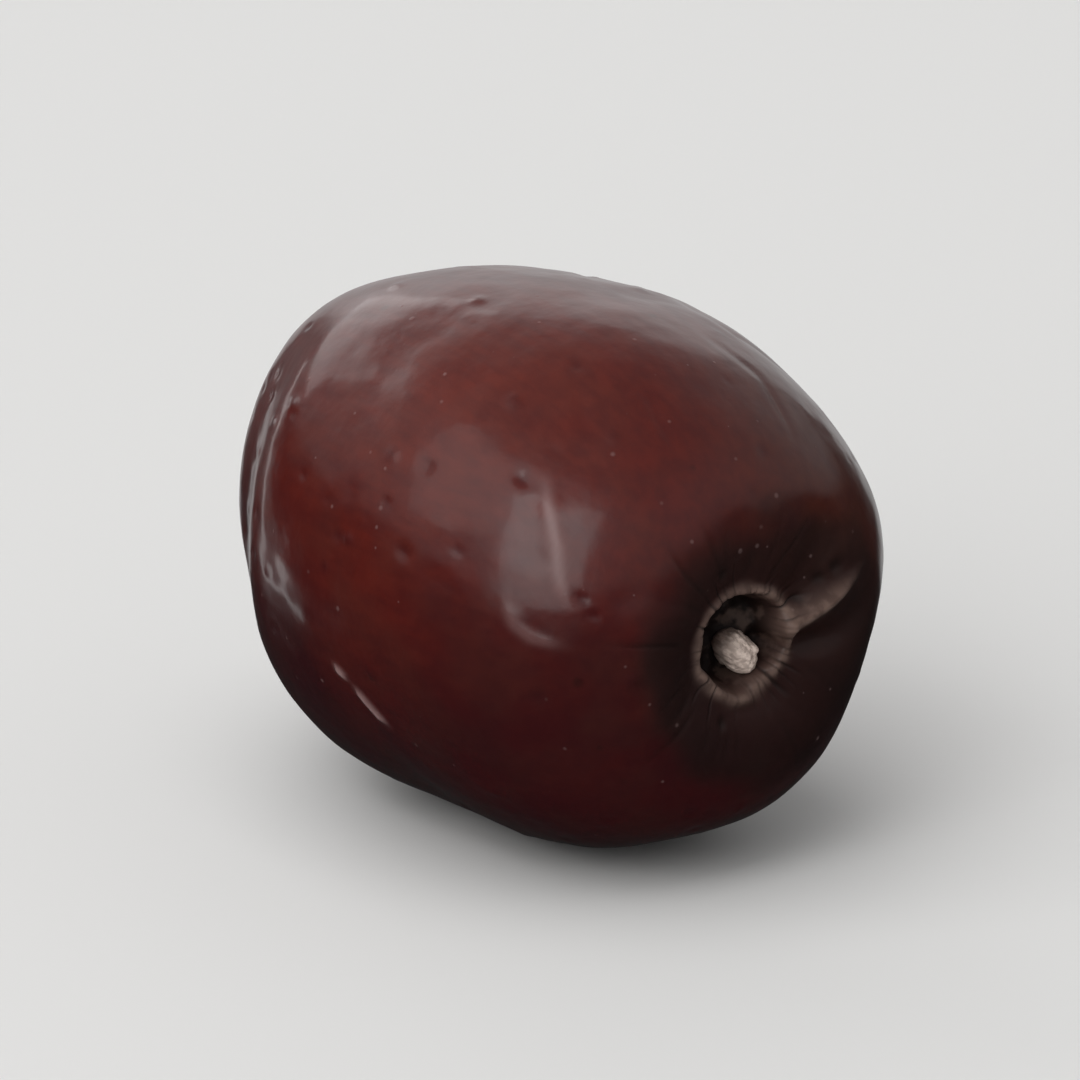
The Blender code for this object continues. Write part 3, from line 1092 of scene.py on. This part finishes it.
def pith_material(colours):
    """Dry fibrous stalk with a pale broken top."""
    material, bench, shader = new_material("jujube_stalk")
    blotches = shared_group("Blotches", blotch_group)
    place = bench.add("ShaderNodeTexCoord").outputs["Object"]
    fibres = bench.group(blotches, Vector=stretched(bench, place, FIBRE_STRETCH), **PITH_FIBRES)
    stains = bench.group(blotches, Vector=place, **PITH_STAINS)
    colour = bench.tint(tuple(colours.pith), fibres, PITH_FIBRE_SHARE, colours.cork)
    colour = bench.tint(colour, stains, PITH_STAIN_SHARE, colours.cork)
    colour = bench.mix(bench.mask("side"), colour, tuple(colours.cork))
    bench.join(colour, shader.inputs["Base Color"])
    bench.join(bench.spread(fibres, 0.0, 1.0, *PITH_ROUGHNESS), shader.inputs["Roughness"])
    add_bump(bench, shader, fibres, PITH_BUMP, PITH_BUMP_DEPTH)
    return material


def pit_floor():
    """Middle of the pit's floor, from the skin's own points."""
    mesh = bpy.data.objects["jujube_skin"].data
    depth = np.empty(len(mesh.vertices))
    mesh.attributes["pit"].data.foreach_get("value", depth)
    return read_points(mesh)[depth > PIT_INSIDE].mean(axis=0)


def stalk_stub(scar):
    """Broken stub of the stalk: a short leaning stick with fibrous sides and a worn top."""
    stub = bmesh.new()
    bmesh.ops.create_uvsphere(stub, u_segments=STUB_SEGMENTS, v_segments=STUB_RINGS, radius=1.0)
    mesh = bpy.data.meshes.new("jujube_stalk")
    stub.to_mesh(mesh)
    stub.free()
    ball = read_points(mesh)
    up = ball[:, 2]
    turn = np.arctan2(ball[:, 1], ball[:, 0])
    ragged = slow_waves(ball, *STUB_WAVES)
    column = np.stack([np.cos(turn), np.sin(turn), STUB_FIBRE_STRETCH * up], axis=1)
    fibres = slow_waves(column, *FIBRE_WAVES)
    swell = 1.0 + STUB_RAGGEDNESS * ragged + STUB_FIBRES * fibres * ease(STUB_FIBRE_TOP - up)
    swell *= np.maximum(np.hypot(ball[:, 0], ball[:, 1]), STUB_POLE) ** (STUB_FULLNESS - 1.0)
    height = 0.5 * (1.0 + up) + STUB_RAGGEDNESS * ragged * ease(up)
    place = np.stack(
        [
            height * (scar.length + scar.root) - scar.root,
            ball[:, 0] * swell * scar.thickness,
            ball[:, 1] * swell * scar.breadth,
        ],
        axis=1,
    )
    aside = math.sin(scar.lean)
    toward = Vector((math.cos(scar.lean), aside * math.cos(scar.slant), aside * math.sin(scar.slant)))
    leaning = np.array(Vector((1.0, 0.0, 0.0)).rotation_difference(toward).to_matrix())
    write_points(mesh, place @ leaning.T + pit_floor() + np.array([0.0, scar.offset_y, scar.offset_z]))
    write_mask(mesh, "side", ease((STUB_SIDE_TOP - up) / STUB_SIDE_EDGE))
    return mesh


class JUJUBE_OT_stalk(Operator):
    """Build the dry stub of the stalk inside the pit."""

    bl_idname = "jujube.stalk"
    bl_label = "Stalk stub"

    def execute(self, context):
        mesh = stalk_stub(context.scene.jujube_scar)
        mesh.shade_smooth()
        mesh.materials.append(pith_material(context.scene.jujube_colours))
        stub = new_object("jujube_stalk", mesh)
        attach(stub, BODY)
        return {"FINISHED"}


class JUJUBE_OT_skin(Operator):
    """Build the fruit's fine skin in place of the plain solid."""

    bl_idname = "jujube.skin"
    bl_label = "Fruit skin"

    def execute(self, context):
        shape = context.scene.jujube_shape
        mesh = turned_body(shape)
        shape_skin(shape, mesh)
        mesh.shade_smooth()
        mesh.materials.append(skin_material(context.scene.jujube_colours))
        fruit = new_object("jujube_skin", mesh)
        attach(fruit, BODY)
        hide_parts(FRUIT_NODE)
        return {"FINISHED"}


def area_light(name, place, target, size, brightness, tilt):
    """Soft rectangular light of an even brightness, hidden from the camera."""
    light = bpy.data.lights.new(name, "AREA")
    light.shape = "RECTANGLE"
    light.size, light.size_y = size
    light.energy = brightness * math.pi * size[0] * size[1]
    item = new_object(name, light)
    item.location = place
    facing = (Vector(target) - Vector(place)).to_track_quat("-Z", "Y")
    item.rotation_euler = (facing @ Quaternion((0.0, 0.0, 1.0), tilt)).to_euler()
    item.visible_camera = False
    return item


def view_direction(azimuth, elevation):
    """Unit vector from the fruit toward a camera or light."""
    flat = math.cos(elevation)
    return Vector((math.sin(azimuth) * flat, -math.cos(azimuth) * flat, math.sin(elevation)))


class JUJUBE_OT_stage(Operator):
    """Set up the floor, the lights and the camera."""

    bl_idname = "jujube.stage"
    bl_label = "Studio"

    def execute(self, context):
        stage = context.scene.jujube_stage
        low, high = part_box(FRUIT_NODE)
        middle = 0.5 * (low + high)
        self.make_floor(stage, low.z)
        self.make_lights(stage, middle)
        self.make_camera(context, stage, middle)
        self.make_world(context, stage)
        return {"FINISHED"}

    def make_floor(self, stage, level):
        """Plain floor under the fruit, which the skin doesn't mirror."""
        sheet = bmesh.new()
        bmesh.ops.create_grid(sheet, x_segments=FLOOR_SEGMENTS, y_segments=FLOOR_SEGMENTS, size=FLOOR_SIZE)
        bmesh.ops.translate(sheet, verts=sheet.verts, vec=(0.0, 0.0, level))
        mesh = bpy.data.meshes.new("floor")
        sheet.to_mesh(mesh)
        sheet.free()
        material, _, shader = new_material("floor")
        shader.inputs["Base Color"].default_value = tuple(stage.floor)
        shader.inputs["Roughness"].default_value = FLOOR_ROUGHNESS
        shader.inputs["Specular IOR Level"].default_value = FLOOR_SPECULAR
        mesh.materials.append(material)
        floor = new_object("floor", mesh)
        floor.visible_glossy = False

    def make_lights(self, stage, middle):
        """Soft boxes round the fruit, each turned to face it."""
        for name, turn, lift, tilt, distance, size, brightness, mirrored in LIGHTS:
            toward = view_direction(stage.azimuth + math.radians(turn), math.radians(lift))
            place = middle + toward * distance
            box = area_light(name, place, middle, size, brightness * stage.light, math.radians(tilt))
            box.visible_glossy = mirrored

    def make_camera(self, context, stage, middle):
        """Camera with a long lens, aimed at the middle of the fruit."""
        camera = bpy.data.cameras.new("camera")
        camera.sensor_width = SENSOR_WIDTH
        camera.lens = camera.sensor_width * stage.distance / stage.view_width
        camera.clip_start = CLIP_START
        camera.clip_end = CLIP_END
        item = new_object("camera", camera)
        toward = view_direction(stage.azimuth, stage.elevation)
        item.location = middle + toward * stage.distance
        item.rotation_euler = (-toward).to_track_quat("-Z", "Y").to_euler()
        context.scene.camera = item

    def make_world(self, context, stage):
        """Even light of the room, dim low down."""
        world = bpy.data.worlds.new("room")
        world.use_nodes = True
        bench = NodeBench(world.node_tree)
        way = bench.add("ShaderNodeTexCoord").outputs["Generated"]
        parts = bench.add("ShaderNodeSeparateXYZ")
        bench.join(way, parts.inputs["Vector"])
        wall = bench.spread(parts.outputs["Z"], ROOM_START, ROOM_END, ROOM_LOW, 1.0)
        roof = bench.spread(parts.outputs["Z"], ROOM_ROOF, 1.0, 1.0, ROOM_ZENITH)
        strength = bench.times(bench.times(wall, roof), stage.world)
        background = world.node_tree.nodes["Background"]
        background.inputs["Color"].default_value = (1.0, 1.0, 1.0, 1.0)
        bench.join(strength, background.inputs["Strength"])
        context.scene.world = world
        context.scene.view_settings.view_transform = "Standard"


class JUJUBE_PT_panel(Panel):
    """Lists the pieces and their settings."""

    bl_idname = "JUJUBE_PT_panel"
    bl_label = "Jujube"
    bl_space_type = "VIEW_3D"
    bl_region_type = "UI"
    bl_category = "Jujube"

    def draw(self, context):
        layout = self.layout
        for operator in OPERATORS:
            layout.operator(operator.bl_idname)
        for group, settings in SETTINGS.items():
            box = layout.box()
            for key in settings.__annotations__:
                box.prop(getattr(context.scene, group), key)


OPERATORS = (JUJUBE_OT_skin, JUJUBE_OT_stalk, JUJUBE_OT_stage)
SETTINGS = {
    "jujube_shape": JujubeShape,
    "jujube_scar": JujubeScar,
    "jujube_colours": JujubeColours,
    "jujube_stage": JujubeStage,
}


def register():
    for item in (*SETTINGS.values(), *OPERATORS, JUJUBE_PT_panel):
        bpy.utils.register_class(item)
    for name, settings in SETTINGS.items():
        setattr(bpy.types.Scene, name, PointerProperty(type=settings))


def unregister():
    for name in SETTINGS:
        delattr(bpy.types.Scene, name)
    for item in reversed((*SETTINGS.values(), *OPERATORS, JUJUBE_PT_panel)):
        bpy.utils.unregister_class(item)


def main():
    register()
    bpy.ops.jujube.skin()
    bpy.ops.jujube.stalk()
    bpy.ops.jujube.stage()


if __name__ == "__main__":
    main()
